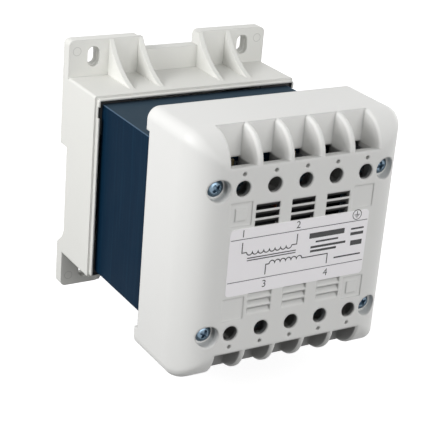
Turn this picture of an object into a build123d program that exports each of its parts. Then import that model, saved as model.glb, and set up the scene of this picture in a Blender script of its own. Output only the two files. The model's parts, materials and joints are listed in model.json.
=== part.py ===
from build123d import *
import os
from math import radians, sin, tan

# Rail-mounted control transformer on a stack of EI sheets, with a moulded rear base and front cover.
# Origin: middle of the rail seat, in the plane of the base's back. +X right, +Z up, the front faces -Y.
# Depths are measured forward from the back plane, rises are measured from the middle of the body.

# Mounting rail
rail_width = 35.0
rail_edge_clearance = 0.8
rail_lip = 1.0
rail_lip_clearance = 0.15
channel_depth = 6.0
hook_reach = 2.3
hook_thickness = 3.2
hook_inner_x = 22.0
lead_in_height = 7.0

# Body over the rail
body_height_over_rail = 9.0

# Laminations: scrapless EI sheets, all lengths are multiples of half the middle leg
lam_unit = 14.0
stack_depth = 45.0
core_hole_diameter = 4.5
core_clearance = 1.6

# Rear base moulding
base_depth = 29.5
base_wall = 2.4
base_corner_radius = 1.0
collar_wall = 0.6
collar_step = 0.8
collar_length = 2.2
core_seat_below_collar = 1.7
collar_notch_rise = 32.0
collar_notch_width = 4.5
collar_notch_depth = 1.1
post_half = 5.6
ear_height = 15.0
ear_thickness = 5.0
ear_corner_radius = 2.2
top_ear_width = 32.2
bottom_ear_width = 17.8
low_wall_height = 9.3
ear_slot_width = 4.2
ear_slot_length = 7.2
ear_slot_recess = 0.5
ear_slot_recess_depth = 2.0
ear_slot_edge_distance = 10.6
ear_slot_height = 8.0
rib_thickness = 2.0
rib_foot_depth = 25.5
rib_hollow = 1.7
middle_rib_x = 26.8

# Rail latch and its spring
latch_width = 16.0
latch_body_width = 12.8
latch_flange_thickness = 1.6
latch_back_gap = 0.6
latch_overlap = 2.3
latch_clearance = 0.15
latch_travel = 4.5
latch_foot_gap = 0.5
latch_nose_flat = 0.9
latch_nose_drop = 4.0
latch_window_width = 5.0
guide_wall = 3.85
guide_depth = 8.0
peg_width = 4.4
peg_height = 2.2
peg_foot_height = 2.5
peg_back_gap = 1.2
spring_length = 9.3
spring_width = 4.0
spring_strip = 0.4
spring_depth = 2.8
spring_back_gap = 1.2
spring_legs = 5
pull_slot_width = 5.0
pull_slot_height = 2.2

# Coil former and windings
former_wall = 1.2
former_clearance = 0.3
flange_thickness = 1.4
flange_window_gap = 0.5
flange_rim = 1.0
winding_build = 11.2
winding_corner_radius = 5.0
winding_flange_gap = 0.1
wrap_thickness = 0.4

# Front cover moulding
cover_wall = 2.2
cover_side_gap = 0.8
cover_rise = 12.7
cover_depth = 37.0
cover_overlap = 3.3
cover_corner_radius = 4.5
cover_roll_radius = 12.7
void_chamfer = 8.0
side_cutback = 2.2
side_cutback_rise = 39.2
cover_flange_gap = 0.3
cover_flange_thickness = 1.5

# Terminals
terminal_count = 5
slot_width = 10.6
slot_end_wall = 2.4
slot_back_wall = 1.4
slot_edge_chamfer = 0.8
well_depth = 7.1
well_front_wall = 5.0
ledge_rise = 8.1
ledge_slope = 1.1
ledge_thickness = 1.1
shelf_drop = 4.4
shelf_thickness = 1.4
shelf_back_gap = 3.4
driver_hole_diameter = 6.0
probe_hole_diameter = 1.6
probe_hole_rise = 5.4
cage_side_clearance = 0.2
cage_height = 9.4
cage_depth = 7.0
cage_sheet = 1.1
bar_width = 4.8
bar_thickness = 1.0
bar_top_gap = 0.6
bar_tail_length = 5.8
bar_tail_drop = 7.6
clamp_screw_diameter = 3.8
clamp_head_diameter = 5.6
clamp_head_height = 2.0
thread_clearance = 0.1

# Long corner screws and nuts
screw_diameter = 3.9
screw_hole_diameter = 4.4
screw_head_diameter = 7.0
screw_head_height = 2.6
screw_tip_depth = 9.2
recess_diameter = 8.4
recess_depth = 4.5
recess_floor = 1.8
recess_wall = 0.9
boss_radius = 3.6
boss_pocket_gap = 0.1
cross_length = 4.2
cross_width = 1.0
cross_depth = 1.6
nut_across_flats = 7.0
nut_height = 3.2
nut_pocket_clearance = 0.2
nut_tip_protrusion = 0.6

# Louvres, panels and label on the front
louvre_count = 3
louvre_pitch_x = 15.0
louvre_width = 10.0
louvre_slot_height = 2.25
louvre_pitch_z = 3.05
louvre_top_rise = 21.5
louvre_angle = 45.0
panel_rise = 18.4
panel_x = 26.1
panel_width = 9.0
panel_height = 8.8
panel_recess = 0.3
panel_pad_width = 4.6
panel_pad_height = 4.9
label_width = 59.6
label_height = 25.8
label_thickness = 0.2
label_corner_radius = 1.6

# Earth tag and leads
tag_width = 7.0
tag_sheet = 0.8
tag_foot_height = 6.0
tag_blade_length = 8.0
tag_rise = 11.0
tag_edge_distance = 7.0
lead_diameter = 1.4
lead_tail_gap = 0.2
lead_drop = 4.5

os.makedirs("parts", exist_ok=True)

# Lengths that follow from the sizes above
core_width = 6 * lam_unit
core_height = 5 * lam_unit
yoke = lam_unit
window_width = lam_unit
window_height = 3 * lam_unit
leg_half = lam_unit
screw_x = 2.5 * lam_unit
screw_rise = 2 * lam_unit

base_width = core_width + 2 * (core_clearance + collar_wall + collar_step)
base_height = core_height + 2 * (core_clearance + collar_wall + collar_step)
cavity_width = core_width + 2 * core_clearance
cavity_height = core_height + 2 * core_clearance
collar_front = base_depth + collar_length
core_back = collar_front - core_seat_below_collar
core_front = core_back + stack_depth
core_middle = core_back + stack_depth / 2
base_top = body_height_over_rail + base_height / 2
base_bottom = body_height_over_rail - base_height / 2
base_half = base_width / 2

channel_half = rail_width / 2 + rail_edge_clearance
channel_floor = channel_depth + 2.5
lip_back = channel_depth - rail_lip - rail_lip_clearance
hook_tip = rail_width / 2 - hook_reach

cover_width = core_width + 2 * (cover_side_gap + cover_wall)
cover_height = core_height + 2 * cover_rise
cover_back = core_front - cover_overlap
cover_front = cover_back + cover_depth
cover_inside = cover_front - cover_wall
cover_half_height = cover_height / 2

row_rise = screw_rise
terminal_pitch = (2 * screw_x - 2 * (boss_radius + boss_pocket_gap) - slot_width) / (terminal_count - 1)
terminal_xs = [(i - (terminal_count - 1) / 2) * terminal_pitch for i in range(terminal_count)]
block_half_width = terminal_xs[-1] + slot_width / 2 + slot_end_wall
well_front = cover_front - well_front_wall
well_back = well_front - well_depth
block_back = well_back - slot_back_wall
ledge_top = row_rise + ledge_rise
ledge_inner_top = ledge_top - ledge_slope
ledge_under = ledge_inner_top - ledge_thickness
shelf_top = row_rise - shelf_drop
shelf_under = shelf_top - shelf_thickness
shelf_back = block_back + shelf_back_gap

cage_back = block_back
cage_front = cage_back + cage_depth
bar_back = cage_back + cage_sheet
bar_front = bar_back + bar_thickness
bar_top = ledge_under + bar_top_gap
tail_rise = row_rise - bar_tail_drop
tail_end = bar_back - bar_tail_length

head_seat = cover_front - recess_depth
recess_back = head_seat - recess_floor
nut_front = screw_tip_depth + nut_tip_protrusion + nut_height

flange_half_width = leg_half + window_width - flange_window_gap
tube_half_width = leg_half + former_clearance + former_wall
tube_half_depth = stack_depth / 2 + former_clearance + former_wall
winding_half_width = tube_half_width + winding_build
winding_half_depth = tube_half_depth + winding_build
wrap_half_depth = winding_half_depth + wrap_thickness
flange_half_depth = wrap_half_depth + flange_rim
former_half_height = window_height / 2
chamber_low = flange_thickness / 2
chamber_high = former_half_height - flange_thickness

primary_terminals = (0, 2)
secondary_terminals = (1, 3)
earth_terminal = 4
corners = [(sx * screw_x, sz * screw_rise) for sx in (-1, 1) for sz in (-1, 1)]


def front_plane(depth):
    """Plane facing forward at a depth: local x is X, local y is height over the rail."""
    return Plane.XZ.offset(depth)


def side_plane(x):
    """Plane across X: local x is Y, local y is height over the rail."""
    return Plane.YZ.offset(x)


def side_point(depth, rise, side=1):
    """Point of a side plane from a depth and a rise, above the body's middle or mirrored below it."""
    return (-depth, body_height_over_rail + side * rise)


def space_point(x, depth, rise, side=1):
    return (x, -depth, body_height_over_rail + side * rise)


def centred(rise=0.0, x=0.0):
    """Place of a sketch shape by its rise over the body's middle."""
    return Locations((x, body_height_over_rail + rise))


def outline(half_width, half_depth, radius, mode=Mode.ADD):
    """Rectangle with round corners, or sharp ones where the radius is nil."""
    if radius:
        RectangleRounded(2 * half_width, 2 * half_depth, radius, mode=mode)
    else:
        Rectangle(2 * half_width, 2 * half_depth, mode=mode)


def leg_ring(outer, inner, low, high, outer_radius=0, inner_radius=0):
    """Ring round the middle leg between two rises, from its outer and inner half width and half depth."""
    with BuildPart() as ring:
        with BuildSketch(Plane.XY.offset(body_height_over_rail + low)):
            with Locations((0, -core_middle)):
                outline(*outer, outer_radius)
                outline(*inner, inner_radius, Mode.SUBTRACT)
        extrude(amount=high - low)
    return ring.part


def export(part, label):
    part.label = label
    export_step(part, f"parts/{label}.step")


# Rear base: box with a collar for the stack, four ears, gussets, the rail channel and the latch guide
with BuildPart() as rear_base:
    with BuildSketch(front_plane(0)):
        with centred():
            RectangleRounded(base_width, base_height, base_corner_radius)
    extrude(amount=base_depth)
    with BuildSketch(front_plane(base_depth)):
        with centred():
            RectangleRounded(base_width - 2 * collar_step, base_height - 2 * collar_step, base_corner_radius)
    extrude(amount=collar_length)

    ear_sink = 2 * ear_corner_radius
    with BuildSketch(front_plane(0)):
        for side in (-1, 1):
            with Locations((side * (base_half - top_ear_width / 2), base_top + (ear_height - ear_sink) / 2)):
                RectangleRounded(top_ear_width, ear_height + ear_sink, ear_corner_radius)
            with Locations((side * (base_half - bottom_ear_width / 2),
                            base_bottom - (ear_height - ear_sink) / 2)):
                RectangleRounded(bottom_ear_width, ear_height + ear_sink, ear_corner_radius)
        with Locations((0, base_top + low_wall_height / 2)):
            Rectangle(2 * (base_half - top_ear_width + rib_thickness / 2), low_wall_height)
        with Locations((0, base_bottom - low_wall_height / 2)):
            Rectangle(2 * (base_half - bottom_ear_width + rib_thickness / 2), low_wall_height)
    extrude(amount=ear_thickness)

    inner_top_rib_x = base_half - top_ear_width + rib_thickness / 2
    bottom_rib_x = base_half - bottom_ear_width + rib_thickness / 2
    rib_places = [(x * side, 1) for x in (inner_top_rib_x, middle_rib_x) for side in (-1, 1)]
    rib_places += [(bottom_rib_x * side, -1) for side in (-1, 1)]
    rib_root = base_height / 2
    rib_tip = rib_root + ear_height - 0.3
    for x, up in rib_places:
        middle_depth = (ear_thickness + rib_foot_depth) / 2 - rib_hollow
        middle_rise = (rib_root + rib_tip) / 2 - rib_hollow
        with BuildSketch(side_plane(x)):
            with BuildLine():
                ThreePointArc(side_point(rib_foot_depth, rib_root, up), side_point(middle_depth, middle_rise, up),
                              side_point(ear_thickness, rib_tip, up))
                Polyline(side_point(ear_thickness, rib_tip, up), side_point(ear_thickness / 2, rib_tip, up),
                         side_point(ear_thickness / 2, rib_root - base_wall / 2, up),
                         side_point(rib_foot_depth, rib_root - base_wall / 2, up),
                         side_point(rib_foot_depth, rib_root, up))
            make_face()
        extrude(amount=rib_thickness / 2, both=True)

    guide_half = latch_width / 2 + latch_clearance + guide_wall
    guide_bottom = base_bottom - low_wall_height
    with BuildSketch(front_plane(0)):
        with Locations((0, (guide_bottom - channel_half) / 2)):
            Rectangle(2 * guide_half, -channel_half - guide_bottom)
    extrude(amount=guide_depth)

    upper_floor = channel_half + base_wall - body_height_over_rail
    with BuildSketch(side_plane(0)):
        with BuildLine():
            Polyline(side_point(collar_front + 1, -cavity_height / 2), side_point(collar_front + 1, cavity_height / 2),
                     side_point(base_wall, cavity_height / 2), side_point(base_wall, upper_floor),
                     side_point(channel_floor, upper_floor), side_point(channel_floor, -cavity_height / 2),
                     close=True)
        make_face()
    extrude(amount=cavity_width / 2, both=True, mode=Mode.SUBTRACT)

    post_inner = (screw_x - post_half, screw_rise - post_half)
    post_outer = ((cavity_width + collar_wall) / 2, (cavity_height + collar_wall) / 2)
    with BuildSketch(front_plane(base_wall / 2)):
        for x_side in (-1, 1):
            for side in (-1, 1):
                with centred(side * (post_inner[1] + post_outer[1]) / 2, x_side * (post_inner[0] + post_outer[0]) / 2):
                    Rectangle(post_outer[0] - post_inner[0], post_outer[1] - post_inner[1])
    extrude(amount=core_back - base_wall / 2)

    with BuildSketch(side_plane(0)):
        with BuildLine():
            Polyline((1, channel_half + 0.2), (-channel_depth, channel_half), (-channel_depth, -channel_half),
                     (-channel_depth + 1.4, -channel_half - 2.9), (0, -channel_half - lead_in_height),
                     (1, -channel_half - lead_in_height), close=True)
        make_face()
    extrude(amount=base_width, both=True, mode=Mode.SUBTRACT)

    hook_length = base_half - 3 - hook_inner_x
    for side in (-1, 1):
        with BuildSketch(side_plane(side * (hook_inner_x + hook_length / 2))):
            with BuildLine():
                Polyline((-lip_back, channel_half + 1), (-lip_back, hook_tip), (-lip_back + hook_thickness / 3, hook_tip),
                         (-lip_back + hook_thickness, channel_half), (-lip_back + hook_thickness, channel_half + 1),
                         close=True)
            make_face()
        extrude(amount=hook_length / 2, both=True)

    groove_front = lip_back + latch_clearance
    groove_back = lip_back - latch_flange_thickness - latch_clearance
    groove_top = -channel_half + 1
    groove_low = guide_bottom - 1
    with BuildSketch(front_plane(groove_back)):
        with Locations((0, (groove_top + groove_low) / 2)):
            Rectangle(latch_width + 2 * latch_clearance, groove_top - groove_low)
    extrude(amount=groove_front - groove_back, mode=Mode.SUBTRACT)
    with BuildSketch(front_plane(-1)):
        with Locations((0, (groove_top + groove_low) / 2)):
            Rectangle(latch_body_width + 2 * latch_clearance, groove_top - groove_low)
    extrude(amount=groove_back + 1.1, mode=Mode.SUBTRACT)

    peg_low = guide_bottom + peg_foot_height
    with BuildSketch(front_plane(peg_back_gap)):
        with Locations((0, peg_low + peg_height / 2)):
            Rectangle(peg_width, peg_height)
    extrude(amount=groove_front - peg_back_gap + 0.5)

    with BuildSketch(front_plane(-1)):
        for x, rise in corners:
            with centred(rise, x):
                Circle(screw_hole_diameter / 2)
    extrude(amount=core_back + 2, mode=Mode.SUBTRACT)
    with BuildSketch(front_plane(-1)):
        for x, rise in corners:
            with centred(rise, x):
                RegularPolygon((nut_across_flats + nut_pocket_clearance) / 2, 6, major_radius=False)
    extrude(amount=nut_front + 1, mode=Mode.SUBTRACT)

    ear_slot_x = base_half - ear_slot_edge_distance
    ear_slot_zs = (base_top + ear_slot_height, base_bottom - ear_slot_height)
    for z in ear_slot_zs:
        for side in (-1, 1):
            with BuildSketch(front_plane(-1)):
                with Locations((side * ear_slot_x, z)):
                    SlotOverall(ear_slot_length, ear_slot_width, rotation=90)
            extrude(amount=ear_thickness + 2, mode=Mode.SUBTRACT)
            with BuildSketch(front_plane(ear_thickness - ear_slot_recess_depth)):
                with Locations((side * ear_slot_x, z)):
                    SlotOverall(ear_slot_length + 2 * ear_slot_recess, ear_slot_width + 2 * ear_slot_recess,
                                rotation=90)
            extrude(amount=ear_slot_recess_depth + 1, mode=Mode.SUBTRACT)

    with BuildSketch(front_plane(collar_front - collar_notch_depth)):
        for side in (-1, 1):
            with centred(collar_notch_rise, side * (base_half - collar_step)):
                Rectangle(2 * collar_wall + core_clearance, collar_notch_width)
    extrude(amount=collar_notch_depth + 1, mode=Mode.SUBTRACT)
export(rear_base.part, "rear_base")


# Rail latch: T-section slider with a hooked nose, a window for the spring and a pull slot
latch_bottom = base_bottom - ear_height + latch_foot_gap
latch_nose = -rail_width / 2 + latch_overlap
window_low = peg_low - 0.1
window_high = peg_low + peg_height + spring_length
with BuildPart() as rail_latch:
    with BuildSketch(side_plane(0)):
        with BuildLine():
            Polyline((-lip_back, latch_bottom), (-lip_back, latch_nose), (-lip_back + latch_nose_flat, latch_nose),
                     (-latch_back_gap, latch_nose - latch_nose_drop), (-latch_back_gap, latch_bottom), close=True)
        make_face()
    extrude(amount=latch_width / 2, both=True)
    flank = (latch_width - latch_body_width) / 2
    flank_depth = lip_back - latch_flange_thickness
    with BuildSketch(front_plane(0)):
        for side in (-1, 1):
            with Locations((side * (latch_width / 2 - flank / 2), (latch_nose + latch_bottom) / 2)):
                Rectangle(flank, latch_nose - latch_bottom + 1)
    extrude(amount=flank_depth, mode=Mode.SUBTRACT)
    with BuildSketch(front_plane(0)):
        with Locations((0, (window_low + window_high) / 2)):
            Rectangle(latch_window_width, window_high - window_low)
        with Locations((0, latch_bottom + pull_slot_height)):
            Rectangle(pull_slot_width, pull_slot_height)
    extrude(amount=channel_depth, mode=Mode.SUBTRACT)
export(rail_latch.part, "rail_latch")


# Latch spring: folded steel strip between the peg of the base and the top of the latch window
strip_half = spring_width / 2 - spring_strip
leg_rise = (spring_length - spring_strip) / (spring_legs - 1)
spring_foot = peg_low + peg_height + spring_strip / 2
folds = [(-strip_half, spring_foot), (strip_half, spring_foot)]
folds += [(strip_half * (-1) ** i, spring_foot + i * leg_rise) for i in range(1, spring_legs)]
folds += [(-folds[-1][0], folds[-1][1])]
with BuildPart() as latch_spring:
    with BuildSketch(front_plane(spring_back_gap)):
        with BuildLine():
            Polyline(*folds)
        trace(line_width=spring_strip)
    extrude(amount=spring_depth)
export(latch_spring.part, "latch_spring")


# Core: E sheets with the yoke below, closed by I sheets across the top of the legs
with BuildPart() as core_e_stack:
    with BuildSketch(front_plane(core_back)):
        with centred(-yoke / 2):
            Rectangle(core_width, core_height - yoke)
        for side in (-1, 1):
            with centred(0, side * (leg_half + window_width / 2)):
                Rectangle(window_width, window_height, mode=Mode.SUBTRACT)
            with centred(-screw_rise, side * screw_x):
                Circle(core_hole_diameter / 2, mode=Mode.SUBTRACT)
    extrude(amount=stack_depth)
export(core_e_stack.part, "core_e_stack")

with BuildPart() as core_i_stack:
    with BuildSketch(front_plane(core_back)):
        with centred(core_height / 2 - yoke / 2):
            Rectangle(core_width, yoke)
        for side in (-1, 1):
            with centred(screw_rise, side * screw_x):
                Circle(core_hole_diameter / 2, mode=Mode.SUBTRACT)
    extrude(amount=stack_depth)
export(core_i_stack.part, "core_i_stack")


# Coil former with two chambers round the middle leg
bore_size = (leg_half + former_clearance, stack_depth / 2 + former_clearance)
tube_size = (tube_half_width, tube_half_depth)
flange_size = (flange_half_width, flange_half_depth)
winding_size = (winding_half_width, winding_half_depth)
wrap_size = (winding_half_width + wrap_thickness, wrap_half_depth)
with BuildPart() as coil_former:
    add(leg_ring(tube_size, bore_size, -former_half_height, former_half_height))
    for low in (-former_half_height, -flange_thickness / 2, former_half_height - flange_thickness):
        add(leg_ring(flange_size, bore_size, low, low + flange_thickness))
export(coil_former.part, "coil_former")

chambers = {"primary": 1, "secondary": -1}
for name, side in chambers.items():
    low, high = chamber_low + winding_flange_gap, chamber_high - winding_flange_gap
    if side < 0:
        low, high = -high, -low
    winding = leg_ring(winding_size, tube_size, low, high, winding_corner_radius)
    export(winding, f"{name}_winding")
    wrap_radius = winding_corner_radius + wrap_thickness
    export(leg_ring(wrap_size, winding_size, low, high, wrap_radius, winding_corner_radius), f"{name}_wrap")


# Front cover: rounded shell with terminal blocks above and below, corner bosses and louvres
cover_middle = (cover_back + cover_front) / 2
with BuildPart() as cover_skin:
    with BuildSketch(side_plane(0)) as side_outline:
        with Locations((-cover_middle, body_height_over_rail)):
            Rectangle(cover_depth, cover_height)
        fillet(side_outline.vertices().sort_by(Axis.X)[:2], cover_roll_radius)
    extrude(amount=cover_width / 2, both=True)
    with BuildSketch(Plane.XY.offset(body_height_over_rail)) as plan_outline:
        with Locations((0, -cover_middle)):
            Rectangle(cover_width, cover_depth)
        fillet(plan_outline.vertices().sort_by(Axis.Y)[:2], cover_roll_radius)
    extrude(amount=cover_height / 2, both=True, mode=Mode.INTERSECT)
    for corner_x in (-cover_width / 2, cover_width / 2):
        for corner_rise in (-cover_half_height, cover_half_height):
            corner = (corner_x, -cover_back, body_height_over_rail + corner_rise)
            depth_edges = cover_skin.edges().filter_by(Axis.Y)
            fillet(depth_edges.sort_by_distance(corner)[0], cover_corner_radius)

with BuildPart() as cover_void:
    with BuildSketch(front_plane(cover_back)) as void_outline:
        with centred():
            Rectangle(cover_width - 2 * cover_wall, cover_height - 2 * cover_wall)
        chamfer(void_outline.vertices(), void_chamfer)
    extrude(amount=cover_depth - cover_wall)
    chamfer(cover_void.faces().sort_by(Axis.Y)[0].edges(), void_chamfer)

with BuildPart() as terminal_blocks:
    with BuildSketch(front_plane(block_back)):
        for side in (-1, 1):
            with centred(side * (shelf_under + cover_half_height) / 2):
                Rectangle(2 * block_half_width, cover_half_height - shelf_under)
    extrude(amount=cover_front - block_back)
    add(cover_skin.part, mode=Mode.INTERSECT)

with BuildPart() as corner_bosses:
    with BuildSketch(front_plane(core_front)):
        for x, rise in corners:
            with centred(rise, x):
                Circle(boss_radius)
    extrude(amount=cover_front - core_front)
    with BuildSketch(front_plane(recess_back)):
        for x, rise in corners:
            with centred(rise, x):
                Rectangle(recess_diameter + 2 * recess_wall, recess_diameter + 2 * recess_wall)
    extrude(amount=cover_front - recess_back)
    add(cover_skin.part, mode=Mode.INTERSECT)

with BuildPart() as front_cover:
    add(cover_skin.part)
    add(cover_void.part, mode=Mode.SUBTRACT)
    with BuildSketch(front_plane(cover_back)):
        for side in (-1, 1):
            flange_low = core_height / 2 + cover_flange_gap
            with centred(side * (flange_low + cover_half_height - cover_wall) / 2):
                Rectangle(core_width + 2 * cover_flange_gap, cover_half_height - cover_wall - flange_low + 0.2)
    extrude(amount=cover_flange_thickness)
    add(terminal_blocks.part)

    # One outline cuts the wire mouth, the well below its ledge and the clamp's pocket
    for side in (-1, 1):
        for x in terminal_xs:
            with BuildSketch(side_plane(x)):
                with BuildLine():
                    Polyline(side_point(block_back - 1, shelf_under - 1, side),
                             side_point(shelf_back, shelf_under - 1, side),
                             side_point(shelf_back, shelf_top, side), side_point(cover_inside, shelf_top, side),
                             side_point(cover_inside, ledge_under, side), side_point(well_front, ledge_under, side),
                             side_point(well_front, ledge_inner_top, side), side_point(cover_front, ledge_top, side),
                             side_point(cover_front + 1, ledge_top, side),
                             side_point(cover_front + 1, cover_half_height + 1, side),
                             side_point(well_back, cover_half_height + 1, side),
                             side_point(well_back, ledge_inner_top + 0.2, side),
                             side_point(block_back - 1, ledge_inner_top + 0.2, side), close=True)
                make_face()
            extrude(amount=slot_width / 2, both=True, mode=Mode.SUBTRACT)
    rolled_rims = [edge for edge in front_cover.edges().filter_by(GeomType.CIRCLE)
                   if abs(edge.radius - cover_roll_radius) < 0.01 and abs((edge @ 0).X - (edge @ 1).X) < 0.01]
    chamfer(rolled_rims, slot_edge_chamfer)

    add(corner_bosses.part)
    with BuildSketch(front_plane(core_front - 1)):
        for x, rise in corners:
            with centred(rise, x):
                Circle(screw_hole_diameter / 2)
    extrude(amount=cover_depth, mode=Mode.SUBTRACT)
    with BuildSketch(front_plane(head_seat)):
        for x, rise in corners:
            with centred(rise, x):
                Circle(recess_diameter / 2)
    extrude(amount=recess_depth + 1, mode=Mode.SUBTRACT)

    with BuildSketch(front_plane(cover_inside - 0.5)):
        for side in (-1, 1):
            for x in terminal_xs:
                with centred(side * row_rise, x):
                    Circle(driver_hole_diameter / 2)
                with centred(side * (row_rise + probe_hole_rise), x):
                    RegularPolygon(probe_hole_diameter / 2, 8)
    extrude(amount=cover_wall + 1, mode=Mode.SUBTRACT)

    # Louvres slope towards the middle of the body on their way in
    inner_drop = (cover_wall + 0.5) * tan(radians(louvre_angle))
    outer_lift = tan(radians(louvre_angle))
    for side in (-1, 1):
        for column in (-1, 0, 1):
            for row in range(louvre_count):
                top = louvre_top_rise - row * louvre_pitch_z
                low = top - louvre_slot_height
                with BuildSketch(side_plane(column * louvre_pitch_x)):
                    with BuildLine():
                        Polyline(side_point(cover_front + 1, top + outer_lift, side),
                                 side_point(cover_inside - 0.5, top - inner_drop, side),
                                 side_point(cover_inside - 0.5, low - inner_drop, side),
                                 side_point(cover_front + 1, low + outer_lift, side), close=True)
                    make_face()
                extrude(amount=louvre_width / 2, both=True, mode=Mode.SUBTRACT)

    with BuildSketch(front_plane(cover_front - panel_recess)):
        for x_side in (-1, 1):
            for side in (-1, 1):
                with centred(side * panel_rise, x_side * panel_x):
                    Rectangle(panel_width, panel_height)
                if x_side != side:
                    with centred(side * panel_rise, x_side * panel_x):
                        Rectangle(panel_pad_width, panel_pad_height, mode=Mode.SUBTRACT)
    extrude(amount=panel_recess + 1, mode=Mode.SUBTRACT)

    with BuildSketch(front_plane(cover_back - 1)):
        for side in (-1, 1):
            with centred(0, side * (cover_width / 2 + core_width / 2 + cover_flange_gap) / 2):
                Rectangle(cover_width / 2 - core_width / 2 - cover_flange_gap + 0.001, 2 * side_cutback_rise)
    extrude(amount=side_cutback + 1, mode=Mode.SUBTRACT)
export(front_cover.part, "front_cover")

with BuildPart() as rating_label:
    with BuildSketch(front_plane(cover_front)):
        with centred():
            RectangleRounded(label_width, label_height, label_corner_radius)
    extrude(amount=label_thickness)
export(rating_label.part, "rating_label")


# Terminals: bent bar, clamp cage and clamp screw at each place that is wired
def terminal_bar(x, side):
    with BuildPart() as bar:
        with BuildSketch(side_plane(x)):
            with BuildLine():
                Polyline(side_point(bar_back, bar_top, side), side_point(bar_front, bar_top, side),
                         side_point(bar_front, tail_rise, side), side_point(tail_end, tail_rise, side),
                         side_point(tail_end, tail_rise + bar_thickness, side),
                         side_point(bar_back, tail_rise + bar_thickness, side), close=True)
            make_face()
        extrude(amount=bar_width / 2, both=True)
    return bar.part


def clamp_cage(x, side):
    cage_width = slot_width - 2 * cage_side_clearance
    foot = shelf_top if side > 0 else -(shelf_top + cage_height)
    with BuildPart() as cage:
        with BuildSketch(Plane.XY.offset(body_height_over_rail + foot)):
            with Locations((x, -(cage_back + cage_depth / 2))):
                Rectangle(cage_width, cage_depth)
                Rectangle(cage_width - 2 * cage_sheet, cage_depth - 2 * cage_sheet, mode=Mode.SUBTRACT)
        extrude(amount=cage_height)
        with BuildSketch(front_plane(cage_front - cage_sheet - 0.5)):
            with centred(side * row_rise, x):
                Circle(clamp_screw_diameter / 2 + thread_clearance)
        extrude(amount=cage_sheet + 1, mode=Mode.SUBTRACT)
    return cage.part


def clamp_screw(x, side):
    with BuildPart() as screw:
        with BuildSketch(front_plane(bar_front)):
            with centred(side * row_rise, x):
                Circle(clamp_screw_diameter / 2)
        extrude(amount=cage_front - bar_front)
        with BuildSketch(front_plane(cage_front)):
            with centred(side * row_rise, x):
                Circle(clamp_head_diameter / 2)
        extrude(amount=clamp_head_height)
    return screw.part


wired = {"primary_0": (primary_terminals[0], 1), "primary_230": (primary_terminals[1], 1),
         "earth": (earth_terminal, 1), "secondary_0": (secondary_terminals[0], -1),
         "secondary_24": (secondary_terminals[1], -1)}
for name, (place, side) in wired.items():
    export(terminal_bar(terminal_xs[place], side), f"terminal_bar_{name}")
    export(clamp_cage(terminal_xs[place], side), f"clamp_cage_{name}")
    export(clamp_screw(terminal_xs[place], side), f"clamp_screw_{name}")


# Long corner screws with cross recesses, and the hexagon nuts behind them
with BuildPart() as corner_screws:
    with BuildSketch(front_plane(head_seat)):
        for x, rise in corners:
            with centred(rise, x):
                Circle(screw_head_diameter / 2)
    extrude(amount=screw_head_height)
    with BuildSketch(front_plane(screw_tip_depth)):
        for x, rise in corners:
            with centred(rise, x):
                Circle(screw_diameter / 2)
    extrude(amount=head_seat - screw_tip_depth)
    with BuildSketch(front_plane(head_seat + screw_head_height - cross_depth)):
        for x, rise in corners:
            with centred(rise, x):
                Rectangle(cross_length, cross_width)
                Rectangle(cross_width, cross_length)
    extrude(amount=cross_depth + 1, mode=Mode.SUBTRACT)
export(corner_screws.part, "corner_screws")

with BuildPart() as corner_nuts:
    with BuildSketch(front_plane(nut_front - nut_height)):
        for x, rise in corners:
            with centred(rise, x):
                RegularPolygon(nut_across_flats / 2, 6, major_radius=False)
                Circle(screw_diameter / 2 + thread_clearance, mode=Mode.SUBTRACT)
    extrude(amount=nut_height)
export(corner_nuts.part, "corner_nuts")


# Earth tag spot-welded to the outer leg of the core
tag_x = core_width / 2 - tag_edge_distance
tag_end = core_front + tag_blade_length
with BuildPart() as earth_tag:
    with BuildSketch(side_plane(tag_x)):
        with BuildLine():
            Polyline(side_point(core_front, tag_rise - tag_foot_height), side_point(core_front, tag_rise),
                     side_point(tag_end, tag_rise), side_point(tag_end, tag_rise - tag_sheet),
                     side_point(core_front + tag_sheet, tag_rise - tag_sheet),
                     side_point(core_front + tag_sheet, tag_rise - tag_foot_height), close=True)
        make_face()
    extrude(amount=tag_width / 2, both=True)
export(earth_tag.part, "earth_tag")


# Leads: stiff wire from under each bar's tail to its winding, and from the earth bar to the tag
lead_depth = tail_end + lead_diameter / 2 + lead_tail_gap
winding_face = core_middle + wrap_half_depth
flat_half = winding_half_width - winding_corner_radius - lead_diameter


def lead(points):
    """Round wire bent sharply at each point between its two ends."""
    with BuildPart() as wire:
        with BuildLine() as route:
            Polyline(*points)
        with BuildSketch(Plane(origin=points[0], z_dir=Vector(*points[1]) - Vector(*points[0]))):
            Circle(lead_diameter / 2)
        sweep(path=route.line, transition=Transition.RIGHT)
    return wire.part


for name, (place, side) in wired.items():
    x = terminal_xs[place]
    start = space_point(x, lead_depth, tail_rise, side)
    if name == "earth":
        bend_rise = (tail_rise + tag_rise) / 2
        landing = tag_end - lead_diameter
        points = [start, space_point(x, lead_depth, bend_rise), space_point(tag_x, landing, bend_rise),
                  space_point(tag_x, landing, tag_rise)]
    else:
        end_x = max(-flat_half, min(flat_half, x))
        points = [start, space_point(x, lead_depth, tail_rise - lead_drop, side),
                  space_point(end_x, lead_depth, tail_rise - 2 * lead_drop, side),
                  space_point(end_x, winding_face, tail_rise - 2 * lead_drop, side)]
        if end_x == x:
            points.pop(1)
    export(lead(points), f"lead_{name}")
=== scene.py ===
import json
import math

import bpy
import numpy as np
from mathutils import Matrix, Vector


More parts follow.
